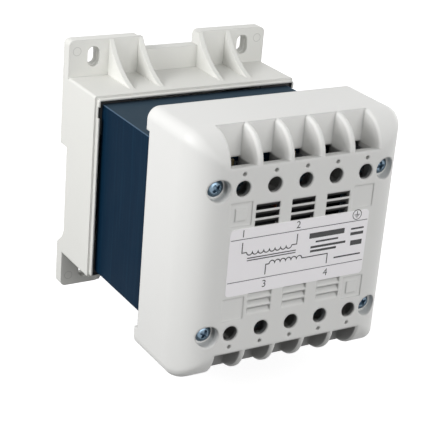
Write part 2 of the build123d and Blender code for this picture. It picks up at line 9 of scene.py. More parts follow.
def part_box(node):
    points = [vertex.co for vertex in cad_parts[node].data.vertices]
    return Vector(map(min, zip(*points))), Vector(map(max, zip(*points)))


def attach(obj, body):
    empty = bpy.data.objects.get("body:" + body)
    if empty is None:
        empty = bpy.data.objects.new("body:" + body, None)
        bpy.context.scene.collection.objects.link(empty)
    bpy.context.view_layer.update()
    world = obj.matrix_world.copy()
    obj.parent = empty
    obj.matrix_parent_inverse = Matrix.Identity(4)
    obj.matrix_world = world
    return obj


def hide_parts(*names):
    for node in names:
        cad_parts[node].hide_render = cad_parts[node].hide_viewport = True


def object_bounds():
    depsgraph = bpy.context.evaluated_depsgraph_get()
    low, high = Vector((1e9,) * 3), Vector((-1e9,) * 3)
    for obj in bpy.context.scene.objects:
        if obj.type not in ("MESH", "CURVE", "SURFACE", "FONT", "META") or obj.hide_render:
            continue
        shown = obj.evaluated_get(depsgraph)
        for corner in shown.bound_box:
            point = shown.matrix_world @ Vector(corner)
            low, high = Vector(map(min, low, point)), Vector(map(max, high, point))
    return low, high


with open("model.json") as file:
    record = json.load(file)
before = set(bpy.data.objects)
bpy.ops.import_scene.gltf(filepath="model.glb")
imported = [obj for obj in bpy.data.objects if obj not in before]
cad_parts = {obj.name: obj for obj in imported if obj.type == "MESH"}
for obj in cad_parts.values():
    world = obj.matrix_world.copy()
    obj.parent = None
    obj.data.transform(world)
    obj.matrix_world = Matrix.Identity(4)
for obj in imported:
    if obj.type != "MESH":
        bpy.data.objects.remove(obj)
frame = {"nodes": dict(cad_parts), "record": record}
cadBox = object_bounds()
nodes = frame["nodes"]
print("frame loaded:", len(nodes), "nodes")


# Camera

cameraSettings = {
    "azimuth": -32.01,  # degrees of the sight from +Y, growing towards -X
    "elevation": 22.55,
    "roll": 4.84,
    "target": (0.0, -0.04862, 0.00032),
    "distance": 0.53332,
    "lens": 113.19,
    "sensorWidth": 36,
    "clipStart": 0.01,
}


# The sight has the azimuth and falls by the elevation. The picture's right and top are the level
# line across the sight and the cross product of the two, both turned about the sight by the roll.
def addCamera(settings):
    azimuth, elevation, roll = (math.radians(settings[name])
                                for name in ("azimuth", "elevation", "roll"))
    sight = Vector((-math.sin(azimuth) * math.cos(elevation),
                    math.cos(azimuth) * math.cos(elevation), -math.sin(elevation)))
    across = Vector((math.cos(azimuth), math.sin(azimuth), 0))
    upwards = across.cross(sight)
    right = across * math.cos(roll) + upwards * math.sin(roll)
    top = upwards * math.cos(roll) - across * math.sin(roll)
    turn = Matrix((right, top, -sight)).transposed().to_4x4()
    data = bpy.data.cameras.new("productCamera")
    data.lens = settings["lens"]
    data.sensor_width = settings["sensorWidth"]
    data.clip_start = settings["clipStart"]
    camera = bpy.data.objects.new("productCamera", data)
    start = Vector(settings["target"]) - sight * settings["distance"]
    camera.matrix_world = Matrix.Translation(start) @ turn
    bpy.context.scene.collection.objects.link(camera)
    bpy.context.scene.camera = camera


addCamera(cameraSettings)
print("camera placed")


# Node helpers, where a value may be a plain one or the socket that gives it

# A node with its properties and plain input values set.
def addNode(tree, kind, **values):
    node = tree.nodes.new(kind)
    for key, value in values.items():
        if key in node.inputs:
            node.inputs[key].default_value = value
        else:
            setattr(node, key, value)
    return node


# A socket's value is linked, a plain one is set.
def setInput(tree, socket, value):
    if isinstance(value, bpy.types.NodeSocket):
        tree.links.new(value, socket)
    else:
        socket.default_value = value


# One sum, difference, product and so on of two values, or of one.
def combine(tree, operation, first, second=None, clamp=False):
    node = addNode(tree, "ShaderNodeMath", operation=operation, use_clamp=clamp)
    setInput(tree, node.inputs[0], first)
    if second is not None:
        setInput(tree, node.inputs[1], second)
    return node.outputs[0]


# The first colour at a factor of 0, the second at 1. A mix node has an A and a B of every kind.
def mixColours(tree, factor, first, second):
    node = addNode(tree, "ShaderNodeMix", data_type="RGBA")
    colours = {socket.name: socket for socket in node.inputs if socket.type == "RGBA"}
    setInput(tree, node.inputs["Factor"], factor)
    setInput(tree, colours["A"], first)
    setInput(tree, colours["B"], second)
    return next(socket for socket in node.outputs if socket.type == "RGBA")


# The value carried from one range to another and held at its ends.
def stretchValue(tree, value, before=(0.0, 1.0), after=(0.0, 1.0), curve="LINEAR"):
    node = addNode(tree, "ShaderNodeMapRange", interpolation_type=curve)
    setInput(tree, node.inputs["Value"], value)
    for label, limit in zip(("From Min", "From Max", "To Min", "To Max"), (*before, *after)):
        setInput(tree, node.inputs[label], limit)
    return node.outputs["Result"]


# Noise about 0.5 at a place, with the scale as its waves per metre.
def addNoise(tree, vector, scale, detail, roughness):
    node = addNode(tree, "ShaderNodeTexNoise", Detail=detail, Roughness=roughness)
    setInput(tree, node.inputs["Vector"], vector)
    setInput(tree, node.inputs["Scale"], scale)
    return node.outputs["Fac"]


# The normal of a surface raised by a height.
def raiseNormal(tree, height, strength, distance, normal=None):
    node = addNode(tree, "ShaderNodeBump", Distance=distance)
    setInput(tree, node.inputs["Height"], height)
    setInput(tree, node.inputs["Strength"], strength)
    if normal is not None:
        setInput(tree, node.inputs["Normal"], normal)
    return node.outputs["Normal"]


# The X, Y and Z of a place.
def splitVector(tree, vector):
    node = tree.nodes.new("ShaderNodeSeparateXYZ")
    setInput(tree, node.inputs[0], vector)
    return node.outputs


# Light, floor and background

white = (1, 1, 1, 1)
studio = {
    "ambient": 0.53,
    "keyPower": 1.53,
    "keySize": 0.28,
    "keyFrom": (-0.400, -0.025, 0.203),
    "fillStrength": 1.45,
    "fillFrom": (0.10, -1.0, 0.15),
    "rearStrength": 0.68,
    "rearFrom": (0.9, 0.5, 0.22),
    "sideStrength": 0.42,
    "sideFrom": (0.95, -0.15, 0.3),
    "farSpread": 0.7,  # radians over which each far lamp is spread
    "aim": (0, -0.055, 0.01),
    "floorColour": (0.05, 0.05, 0.05, 1),
    "floorTint": (0.45, 0.45, 0.45, 1),  # what the camera sees of the floor's own light and shadow
    "floorGlow": 0.86,
    "floorSize": 6.0,
    "floorDrop": 0.006,  # clear of the latch when it is pulled down
}
bpy.context.scene.view_settings.view_transform = "Standard"


# 1 for rays that show the background: camera, glossy and transmission rays.
def seenRay(tree):
    path = tree.nodes.new("ShaderNodeLightPath").outputs
    either = combine(tree, "MAXIMUM", path["Is Camera Ray"], path["Is Glossy Ray"])
    return combine(tree, "MAXIMUM", either, path["Is Transmission Ray"])


# The plain shader for the rays that light the object, the shown one for those that show the
# background.
def mixBySight(tree, plain, shown, outputKind):
    mix = tree.nodes.new("ShaderNodeMixShader")
    out = tree.nodes.new(outputKind)
    tree.links.new(seenRay(tree), mix.inputs[0])
    tree.links.new(plain, mix.inputs[1])
    tree.links.new(shown, mix.inputs[2])
    tree.links.new(mix.outputs[0], out.inputs[0])


# Soft light from all round, and plain white where the background is seen.
def addWorld(settings):
    world = bpy.data.worlds.new("studioWorld")
    bpy.context.scene.world = world
    world.use_nodes = True
    tree = world.node_tree
    tree.nodes.clear()
    soft = addNode(tree, "ShaderNodeBackground", Color=white, Strength=settings["ambient"])
    shown = addNode(tree, "ShaderNodeBackground", Color=white, Strength=1.0)
    mixBySight(tree, soft.outputs[0], shown.outputs[0], "ShaderNodeOutputWorld")


# A lamp's -Z points along its light, so its Z is turned to where the light comes from.
def turnTo(direction):
    return direction.to_track_quat("Z", "Y")


# A large soft lamp near the upper left, and weak far ones in front, on the right and behind it.
def addLamps(settings):
    data = bpy.data.lights.new("keyLight", "AREA")
    data.energy = settings["keyPower"]
    data.shape = "DISK"
    data.size = settings["keySize"]
    key = bpy.data.objects.new("keyLight", data)
    start = Vector(settings["keyFrom"])
    turn = turnTo(start - Vector(settings["aim"])).to_matrix().to_4x4()
    key.matrix_world = Matrix.Translation(start) @ turn
    bpy.context.scene.collection.objects.link(key)
    for name in ("fill", "rear", "side"):
        data = bpy.data.lights.new(name + "Light", "SUN")
        data.energy = settings[name + "Strength"]
        data.angle = settings["farSpread"]
        lamp = bpy.data.objects.new(name + "Light", data)
        lamp.rotation_euler = turnTo(Vector(settings[name + "From"])).to_euler()
        bpy.context.scene.collection.objects.link(lamp)


# Grey paper that lights the object plainly and shows white with a soft shadow on it.
def floorMaterial(settings):
    material = bpy.data.materials.new("floorPaper")
    material.use_nodes = True
    tree = material.node_tree
    tree.nodes.clear()
    paper = addNode(tree, "ShaderNodeBsdfDiffuse", Color=settings["floorColour"])
    tint = addNode(tree, "ShaderNodeBsdfDiffuse", Color=settings["floorTint"])
    glow = addNode(tree, "ShaderNodeEmission", Color=white, Strength=settings["floorGlow"])
    both = tree.nodes.new("ShaderNodeAddShader")
    tree.links.new(tint.outputs[0], both.inputs[0])
    tree.links.new(glow.outputs[0], both.inputs[1])
    mixBySight(tree, paper.outputs[0], both.outputs[0], "ShaderNodeOutputMaterial")
    return material


# One level square about the origin, a little under the object's lowest point.
def addFloor(settings):
    low = cadBox[0][2] - settings["floorDrop"]
    half = settings["floorSize"] / 2
    corners = [(-half, -half, low), (half, -half, low), (half, half, low), (-half, half, low)]
    mesh = bpy.data.meshes.new("floor")
    mesh.from_pydata(corners, [], [(0, 1, 2, 3)])
    mesh.materials.append(floorMaterial(settings))
    floor = bpy.data.objects.new("floor", mesh)
    bpy.context.scene.collection.objects.link(floor)


addWorld(studio)
addLamps(studio)
addFloor(studio)
print("studio lit")


# Shared effects, each a node group

grainDepth = 0.00004
bandShare = 0.12  # bands per line
edgeSamples = 6


# An empty group: its inputs are label, kind and default value, its outputs label and kind.
def newGroup(name, inputs, outputs):
    group = bpy.data.node_groups.new(name, "ShaderNodeTree")
    for label, kind, value in inputs:
        socket = group.interface.new_socket(label, in_out="INPUT", socket_type="NodeSocket" + kind)
        if value is not None:
            socket.default_value = value
    for label, kind in outputs:
        group.interface.new_socket(label, in_out="OUTPUT", socket_type="NodeSocket" + kind)
    entry = group.nodes.new("NodeGroupInput")
    leave = group.nodes.new("NodeGroupOutput")
    return group, entry.outputs, leave.inputs


# A shared effect placed in a material with its own values.
def placeGroup(tree, group, values):
    node = addNode(tree, "ShaderNodeGroup", node_tree=group)
    for label, value in values.items():
        setInput(tree, node.inputs[label], value)
    return node.outputs


# Colour, roughness and relief that all wander: the colour with a broad noise, the others with a
# fine one.
def makeGrainGroup():
    group, entry, leave = newGroup("surfaceGrain", [
        ("Vector", "Vector", None), ("Colour", "Color", (0.5, 0.5, 0.5, 1)),
        ("Shade", "Color", (0.4, 0.4, 0.4, 1)), ("Fine Scale", "Float", 1500.0),
        ("Broad Scale", "Float", 40.0), ("Smoothest", "Float", 0.35), ("Roughest", "Float", 0.5),
        ("Relief", "Float", 0.2), ("Normal", "Vector", None)],
        [("Colour", "Color"), ("Roughness", "Float"), ("Normal", "Vector")])
    fine = addNoise(group, entry["Vector"], entry["Fine Scale"], detail=3.0, roughness=0.6)
    broad = addNoise(group, entry["Vector"], entry["Broad Scale"], detail=4.0, roughness=0.55)
    colour = mixColours(group, broad, entry["Colour"], entry["Shade"])
    roughness = stretchValue(group, fine, after=(entry["Smoothest"], entry["Roughest"]))
    normal = raiseNormal(group, fine, entry["Relief"], grainDepth, entry["Normal"])
    setInput(group, leave["Colour"], colour)
    setInput(group, leave["Roughness"], roughness)
    setInput(group, leave["Normal"], normal)
    return group


# Fine uneven lines across one axis, as the edges of stacked sheets or wound wire show them: noise
# of a place whose other two coordinates are nearly left out, once at full scale and once broader.
def makeSheetLinesGroup():
    group, entry, leave = newGroup("sheetLines", [
        ("Vector", "Vector", None), ("Across", "Vector", (0, 1, 0)),
        ("Lines Per Metre", "Float", 1400.0)], [("Line", "Float"), ("Band", "Float")])
    kept = addNode(group, "ShaderNodeVectorMath", operation="MULTIPLY")
    setInput(group, kept.inputs[0], entry["Vector"])
    setInput(group, kept.inputs[1], entry["Across"])
    bandsPerMetre = combine(group, "MULTIPLY", entry["Lines Per Metre"], bandShare)
    line = addNoise(group, kept.outputs[0], entry["Lines Per Metre"], detail=2.0, roughness=0.7)
    band = addNoise(group, kept.outputs[0], bandsPerMetre, detail=2.0, roughness=0.5)
    setInput(group, leave["Line"], line)
    setInput(group, leave["Band"], band)
    return group


# 1 on the long edges of a block and 0 inwards, as the share of a painted highlight: it falls
# smoothly while the sum of how far |x| is from the half width and z is from the top, over the
# band's width, goes from 0.3 to 1.
def makeCornerGroup():
    group, entry, leave = newGroup("paintedEdgeHighlight", [
        ("Vector", "Vector", None), ("Half Width", "Float", 0.042), ("Top", "Float", 0.044),
        ("Width", "Float", 0.0005)], [("Edge Highlight", "Float")])
    place = splitVector(group, entry["Vector"])
    aside = combine(group, "SUBTRACT", entry["Half Width"], combine(group, "ABSOLUTE", place["X"]))
    below = combine(group, "SUBTRACT", entry["Top"], place["Z"])
    share = combine(group, "DIVIDE", combine(group, "ADD", aside, below), entry["Width"])
    setInput(group, leave["Edge Highlight"], stretchValue(group, share, before=(1.0, 0.3), curve="SMOOTHSTEP"))
    return group


hollowLabels = ("Mouth", "Floor", "Middle", "Least Rise", "Greatest Rise", "Centre", "Half Width",
                "Fade", "Most")


# Painted shade, the most inside a hollow and 0 outside: the least of five distances (behind
# its mouth and ahead of its floor in y, under its greatest and over its least rise from a middle
# height, within its half width of its centre) over a fade, held from 0 to 1, times the most.
def makePaintedShadeGroup():
    group, entry, leave = newGroup("hollowShade", [
        ("Vector", "Vector", None), *((label, "Float", 0.0) for label in hollowLabels)],
        [("Painted Shade", "Float")])
    place = splitVector(group, entry["Vector"])
    rise = combine(group, "ABSOLUTE", combine(group, "SUBTRACT", place["Z"], entry["Middle"]))
    aside = combine(group, "ABSOLUTE", combine(group, "SUBTRACT", place["X"], entry["Centre"]))
    least = combine(group, "SUBTRACT", place["Y"], entry["Mouth"])
    for limit, value in ((entry["Floor"], place["Y"]), (rise, entry["Least Rise"]),
                         (entry["Greatest Rise"], rise), (entry["Half Width"], aside)):
        least = combine(group, "MINIMUM", least, combine(group, "SUBTRACT", limit, value))
    share = combine(group, "DIVIDE", least, entry["Fade"], clamp=True)
    setInput(group, leave["Painted Shade"], combine(group, "MULTIPLY", share, entry["Most"]))
    return group


grainGroup = makeGrainGroup()
linesGroup = makeSheetLinesGroup()
cornerGroup = makeCornerGroup()
paintedShadeGroup = makePaintedShadeGroup()


# Materials

# Each inner colour is painted shade, laid in the hollow places named beside it.
finishes = {
    "base_plastic": {
        "colour": (0.72, 0.72, 0.69), "shade": (0.68, 0.68, 0.65), "rough": (0.38, 0.50),
        "relief": 0.22, "edge": 0.0006, "gloss": 0.3, "inner": (0.045, 0.045, 0.045),
        "hollow": "collar"},
    "cover_plastic": {
        "colour": (0.74, 0.74, 0.725), "shade": (0.715, 0.715, 0.70), "rough": (0.36, 0.48),
        "relief": 0.20, "edge": 0.0011, "gloss": 0.3, "inner": (0.07, 0.07, 0.07),
        "hollow": "cover"},
    "latch_plastic": {
        "colour": (0.62, 0.62, 0.60), "shade": (0.57, 0.57, 0.55), "rough": (0.40, 0.55),
        "relief": 0.25, "edge": 0.0002},
    "former_plastic": {
        "colour": (0.035, 0.035, 0.038), "shade": (0.025, 0.025, 0.028), "rough": (0.5, 0.65),
        "relief": 0.3},
    # The tape's dark colour is painted shade for the inside of the housing, not the tape's own
    # paler colour.
    "winding_tape": {
        "colour": (0.05, 0.05, 0.055), "shade": (0.035, 0.035, 0.04), "rough": (0.3, 0.5),
        "relief": 0.5},
    "lead_sleeve": {
        "colour": (0.16, 0.40, 0.05), "shade": (0.13, 0.33, 0.05), "rough": (0.4, 0.55),
        "relief": 0.2},
    "label_film": {
        "colour": (0.92, 0.90, 0.92), "shade": (0.89, 0.87, 0.895), "rough": (0.28, 0.36),
        "relief": 0.06},
    "lead_copper": {
        "colour": (0.72, 0.38, 0.22), "shade": (0.60, 0.30, 0.17), "rough": (0.25, 0.4),
        "relief": 0.1, "metal": 1.0},
    "terminal_brass": {
        "colour": (0.62, 0.52, 0.30), "shade": (0.52, 0.44, 0.25), "rough": (0.25, 0.4),
        "relief": 0.1, "metal": 1.0},
    "cage_steel": {
        "colour": (0.42, 0.43, 0.45), "shade": (0.33, 0.34, 0.36), "rough": (0.3, 0.45),
        "relief": 0.15, "metal": 1.0},
    "screw_zinc": {
        "colour": (0.22, 0.29, 0.35), "shade": (0.12, 0.18, 0.24), "rough": (0.22, 0.38),
        "relief": 0.12, "metal": 1.0},
    "tag_steel": {
        "colour": (0.60, 0.60, 0.60), "shade": (0.50, 0.50, 0.50), "rough": (0.25, 0.4),
        "relief": 0.1, "metal": 1.0},
    "spring_steel": {
        "colour": (0.40, 0.40, 0.41), "shade": (0.30, 0.30, 0.31), "rough": (0.22, 0.35),
        "relief": 0.08, "metal": 1.0},
}

backPlane = 0.0  # the base's back, behind every hollow
anyRise = -1.0  # less than every rise
coverMiddle = 0.009  # height of the cover's middle
mouthPitch = 0.013
# Places painted darker as painted shade: the cover's inside, its holes and mouths, and the gap
# inside the collar.
paintedShadeHollows = {  # each row in the order of the labels
    "cover": [  # all of the inside, driver holes, upper louvres and each lower wire mouth
        (-0.1064, backPlane, coverMiddle, anyRise, 0.035, 0.0, 0.0316, 0.0008, 0.74),
        (-0.1083, backPlane, coverMiddle, 0.0248, 0.0312, 0.0, 0.0295, 0.0004, 0.74),
        (-0.1085, backPlane, 0.0263, anyRise, 0.0046, 0.0, 0.0202, 0.0003, 1.0),
        *((-0.1078, backPlane, -0.0335, anyRise, 0.0066, place * mouthPitch, 0.0055, 0.0003, 0.76)
          for place in range(-2, 3))],
    "collar": [(-0.0314, -0.0290, coverMiddle, anyRise, 0.0371, 0.0, 0.0440, 0.0003, 1.0)],
}


# A new material, its Principled surface and its Object coordinates.
def startMaterial(name):
    material = bpy.data.materials.new(name)
    material.use_nodes = True
    tree = material.node_tree
    place = tree.nodes.new("ShaderNodeTexCoord").outputs["Object"]
    return material, tree, tree.nodes["Principled BSDF"].inputs, place


# The greatest of a list's painted-shade masks at a place.
def paintedShadeMask(tree, place, rows):
    greatest = None
    for row in rows:
        values = {"Vector": place, **dict(zip(hollowLabels, row))}
        shadeMask = placeGroup(tree, paintedShadeGroup, values)["Painted Shade"]
        greatest = shadeMask if greatest is None else combine(tree, "MAXIMUM", greatest, shadeMask)
    return greatest


# Grain into a Principled surface, with softened edges and, where the finish has them, painted
# shade in hollow places.
def grainMaterial(name, finish):
    material, tree, surface, place = startMaterial(name)
    smoothest, roughest = finish["rough"]
    values = {"Vector": place, "Colour": (*finish["colour"], 1), "Shade": (*finish["shade"], 1),
              "Smoothest": smoothest, "Roughest": roughest, "Relief": finish["relief"]}
    if "edge" in finish:
        soft = addNode(tree, "ShaderNodeBevel", samples=edgeSamples, Radius=finish["edge"])
        values["Normal"] = soft.outputs["Normal"]
    grain = placeGroup(tree, grainGroup, values)
    colour = grain["Colour"]
    # Painted shade: towards the inner colour in hollow places.
    if "hollow" in finish:
        shadeMask = paintedShadeMask(tree, place, paintedShadeHollows[finish["hollow"]])
        colour = mixColours(tree, shadeMask, colour, (*finish["inner"], 1))
    setInput(tree, surface["Base Color"], colour)
    setInput(tree, surface["Roughness"], grain["Roughness"])
    setInput(tree, surface["Normal"], grain["Normal"])
    setInput(tree, surface["Metallic"], finish.get("metal", 0.0))
    setInput(tree, surface["Specular IOR Level"], finish.get("gloss", 0.5))
    return material


coreFinish = {
    "varnish": (0.004, 0.020, 0.044, 1),
    "deep": (0.002, 0.012, 0.028, 1),
    "glint": (0.006, 0.030, 0.060, 1),
    # The top colour is a painted sheen.
    "top": (0.034, 0.057, 0.080, 1),
    # The edge colour is a painted highlight along the long upper edges.
    "rim": (0.085, 0.135, 0.20, 1),
    "across": (0.02, 1, 0.02),
    "linesPerMetre": 900.0,
    "crest": (0.5, 0.9),  # where a line begins to glint and where it glints fully
    "halfWidth": 0.042,
    "height": 0.044,
    "sheenStart": (0.0004, 0.0002),  # how far under the top the painted sheen begins and where it is full
    "rimWidth": 0.00045,
    "poolScale": 60.0,
    "rough": (0.42, 0.6),
    "ridges": (0.3, 0.00008),  # strength and height, as for the waves
    "waves": (0.2, 0.0002),
    "gloss": 0.02,
}


# Dip varnish over the edges of the sheets, which run across the stack's depth. It pools unevenly;
# its paler top is a painted sheen, and a paler line along the long upper edges is a painted
# highlight.
def coreMaterial(finish):
    material, tree, surface, place = startMaterial("coreVarnish")
    lines = placeGroup(tree, linesGroup, {"Vector": place, "Across": finish["across"],
                                          "Lines Per Metre": finish["linesPerMetre"]})
    corner = placeGroup(tree, cornerGroup, {"Vector": place, "Half Width": finish["halfWidth"],
                                            "Top": finish["height"], "Width": finish["rimWidth"]})
    pool = addNoise(tree, place, finish["poolScale"], detail=4.0, roughness=0.6)
    sheenBand = [finish["height"] - drop for drop in finish["sheenStart"]]
    topSheenMask = stretchValue(tree, splitVector(tree, place)["Z"], before=sheenBand)
    crest = stretchValue(tree, lines["Line"], before=finish["crest"])
    colour = mixColours(tree, lines["Band"], finish["deep"], finish["varnish"])
    for factor, paler in ((crest, "glint"), (topSheenMask, "top"), (corner["Edge Highlight"], "rim")):
        colour = mixColours(tree, factor, colour, finish[paler])
    waves = raiseNormal(tree, pool, *finish["waves"])
    setInput(tree, surface["Base Color"], colour)
    setInput(tree, surface["Roughness"], stretchValue(tree, pool, after=finish["rough"]))
    setInput(tree, surface["Normal"], raiseNormal(tree, lines["Line"], *finish["ridges"], waves))
    setInput(tree, surface["Specular IOR Level"], finish["gloss"])
    return material


windingFinish = {
    "wire": (0.55, 0.26, 0.12, 1),
    "gap": (0.12, 0.045, 0.02, 1),
    "across": (0, 0, 1),
    "turnsPerMetre": 900.0,
    "rough": (0.25, 0.45),
    "ridges": (0.6, 0.0002),  # strength and height
    "metal": 0.8,
}


# Enamelled wire laid turn by turn up the leg.
def windingMaterial(finish):
    material, tree, surface, place = startMaterial("windingCopper")
    lines = placeGroup(tree, linesGroup, {"Vector": place, "Across": finish["across"],
                                          "Lines Per Metre": finish["turnsPerMetre"]})
    setInput(tree, surface["Base Color"],
             mixColours(tree, lines["Line"], finish["gap"], finish["wire"]))
    setInput(tree, surface["Roughness"], stretchValue(tree, lines["Band"], after=finish["rough"]))
    setInput(tree, surface["Normal"], raiseNormal(tree, lines["Line"], *finish["ridges"]))
    setInput(tree, surface["Metallic"], finish["metal"])
    return material


materials = {slotName: grainMaterial(slotName, finish) for slotName, finish in finishes.items()}
materials["core_varnish"] = coreMaterial(coreFinish)
materials["winding_copper"] = windingMaterial(windingFinish)
slotOf = {part["node"]: part["material_slot"] for part in frame["record"]["subparts"]}
for name, node in nodes.items():
    node.data.materials.clear()
    node.data.materials.append(materials[slotOf[name]])
print("materials on:", len(materials), "finishes")


# Mesh helpers

# One mesh of points and faces in one finish, which rides on the housing.
def addPiece(name, points, faces, material, smooth=False):
    mesh = bpy.data.meshes.new(name)
    mesh.from_pydata([tuple(p) for p in np.asarray(points, float)], [],
                     [tuple(int(i) for i in f) for f in faces])
    mesh.update()
    if smooth:
        mesh.shade_smooth()
    mesh.materials.append(material)
    piece = bpy.data.objects.new(name, mesh)
    bpy.context.scene.collection.objects.link(piece)
    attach(piece, "housing")
    return piece


# Quads between neighbouring points of a grid, joined round when closed.
def gridFaces(rows, columns, closed=False):
    row, column = np.meshgrid(np.arange(rows - 1), np.arange(columns if closed else columns - 1),
                              indexing="ij")
    after = (column + 1) % columns
    quads = np.stack([row * columns + column, row * columns + after, (row + 1) * columns + after,
                      (row + 1) * columns + column], axis=-1)
    return quads.reshape(-1, 4)


# Angles once round, without the last one, which is the first again.
def turnsRound(count):
    return np.linspace(0, 2 * math.pi, count, endpoint=False)


# Edges sharper than the angle stay sharp, the rest shade smoothly.
def sharpen(piece, degrees):
    piece.data.set_sharp_from_angle(angle=math.radians(degrees))


# Corner and clamp screws: domed heads with a recess, on a long shank

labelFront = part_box("rating_label")[0].y
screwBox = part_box("corner_screws")
cornerScrews = {
    "cadHead": (0.0035, 0.0026),  # radius and height of the heads that these stand for
    "headRadius": 0.0033,
    "headHeight": 0.0015,
    "dome": 0.0012,
    "shankRadius": 0.00195,
    "tipChamfer": 0.25,  # share of the shank's radius
    "tipRadius": 0.7,  # share of the shank's radius
    "crossWidth": 0.0011,
    "crossReach": 0.0017,
    "crossDepth": 0.0014,
    "crossSides": 0.00012,  # how far the sides and the ends of the cross slope in
    "crossEnds": 0.0009,
    "middle": 0.0004,  # share of the head's radius where the rings begin
    "rings": 26,
    "spokes": 96,
    "turns": (0.5, 1.9),  # where the first one stops, and how much further each next one does
    "sharpAngle": 35,
}
clampScrews = dict(cornerScrews, headRadius=0.0028, headHeight=0.0020, dome=0.0003,
                   shankRadius=0.0019, rings=16, spokes=48, slotWidth=0.001, slotDepth=0.001,
                   slotSides=0.0001)


# Polar grid of a head seen along its axis: radius r and turn t give the height
# headHeight - dome * (r / headRadius)^4 - recess(r cos t, r sin t).
def headSurface(settings, recess):
    reach = np.linspace(settings["middle"], 1, settings["rings"]) * settings["headRadius"]
    radius, angle = np.meshgrid(reach, turnsRound(settings["spokes"]), indexing="ij")
    x, z = radius * np.cos(angle), radius * np.sin(angle)
    fall = settings["dome"] * (radius / settings["headRadius"]) ** 4
    height = settings["headHeight"] - fall - recess(x, z)
    return np.stack([x, -height, z], axis=-1).reshape(-1, 3)


# Two crossed grooves whose walls slope in, deepest in the middle: along each, the depth is the
# share of the way in from its sides times the share of the way in from its ends.
def crossRecess(settings):
    halfWidth, reach = settings["crossWidth"] / 2, settings["crossReach"]

    def groove(along, over):
        inWidth = np.clip((halfWidth - np.abs(over)) / settings["crossSides"], 0, 1)
        inReach = np.clip((reach - np.abs(along)) / settings["crossEnds"], 0, 1)
        return inWidth * inReach

    return lambda x, z: settings["crossDepth"] * np.maximum(groove(x, z), groove(z, x))


# One straight groove right across the head, as deep as the share of the way in from its sides.
def slotRecess(settings):
    halfWidth, sides = settings["slotWidth"] / 2, settings["slotSides"]
    return lambda x, z: settings["slotDepth"] * np.clip((halfWidth - np.abs(z)) / sides, 0, 1)


# Head, shank and chamfered tip of one screw about the Y axis: the head's grid goes on as rings of a
# profile of radii and depths, and flat caps close both ends.
def screwMesh(settings, recess, seat, tip):
    head = headSurface(settings, recess)
    spokes = settings["spokes"]
    turn = turnsRound(spokes)
    length, shank = tip - seat, settings["shankRadius"]
    profile = [(settings["headRadius"], 0.0), (shank, 0.0),
               (shank, length - shank * settings["tipChamfer"]),
               (shank * settings["tipRadius"], length)]
    circle = np.stack([np.cos(turn), np.zeros(spokes), np.sin(turn)], axis=-1)
    rings = [circle * radius + (0, depth, 0) for radius, depth in profile]
    points = np.concatenate([head, *rings])
    points[:, 1] += seat
    sides = gridFaces(settings["rings"] + len(profile), spokes, closed=True)
    caps = [list(range(spokes)), list(range(len(points) - spokes, len(points)))[::-1]]
    return points, [list(face[::-1]) for face in sides] + caps


# One screw turned about its axis and set at each centre, all in one piece that stands for the node.
def addScrews(name, node, settings, recess, centres, seat, tip):
    points, faces = screwMesh(settings, recess, seat, tip)
    allPoints, allFaces = [], []
    firstTurn, nextTurn = settings["turns"]
    for index, (x, z) in enumerate(centres):
        swing = firstTurn + index * nextTurn
        turn = np.array([[math.cos(swing), 0, math.sin(swing)], [0, 1, 0],
                         [-math.sin(swing), 0, math.cos(swing)]])
        allPoints.append(points @ turn.T + np.array([x, 0, z]))
        allFaces += [[i + index * len(points) for i in face] for face in faces]
    piece = addPiece(name, np.concatenate(allPoints), allFaces, materials["screw_zinc"],
                     smooth=True)
    sharpen(piece, settings["sharpAngle"])
    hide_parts(node)


# Their centres lie one head's radius in from the corners of the node's box.
def addCornerScrews(settings):
    radius, height = settings["cadHead"]
    low, high = screwBox
    centres = [(side * (high.x - radius), z) for side in (-1, 1)
               for z in (low.z + radius, high.z - radius)]
    addScrews("cornerScrewSet", "corner_screws", settings, crossRecess(settings), centres,
              low.y + height, high.y)


# One screw about the middle of each node's box.
def addClampScrews(settings):
    for name in sorted(nodes):
        if name.startswith("clamp_screw"):
            low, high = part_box(name)
            centre = ((low.x + high.x) / 2, (low.z + high.z) / 2)
            addScrews("slotted_" + name, name, settings, slotRecess(settings), [centre],
                      low.y + settings["headHeight"], high.y)


addCornerScrews(cornerScrews)
addClampScrews(clampScrews)
print("screws made")


# Print on the label: plain numbers, an earth sign, the winding diagram and bars

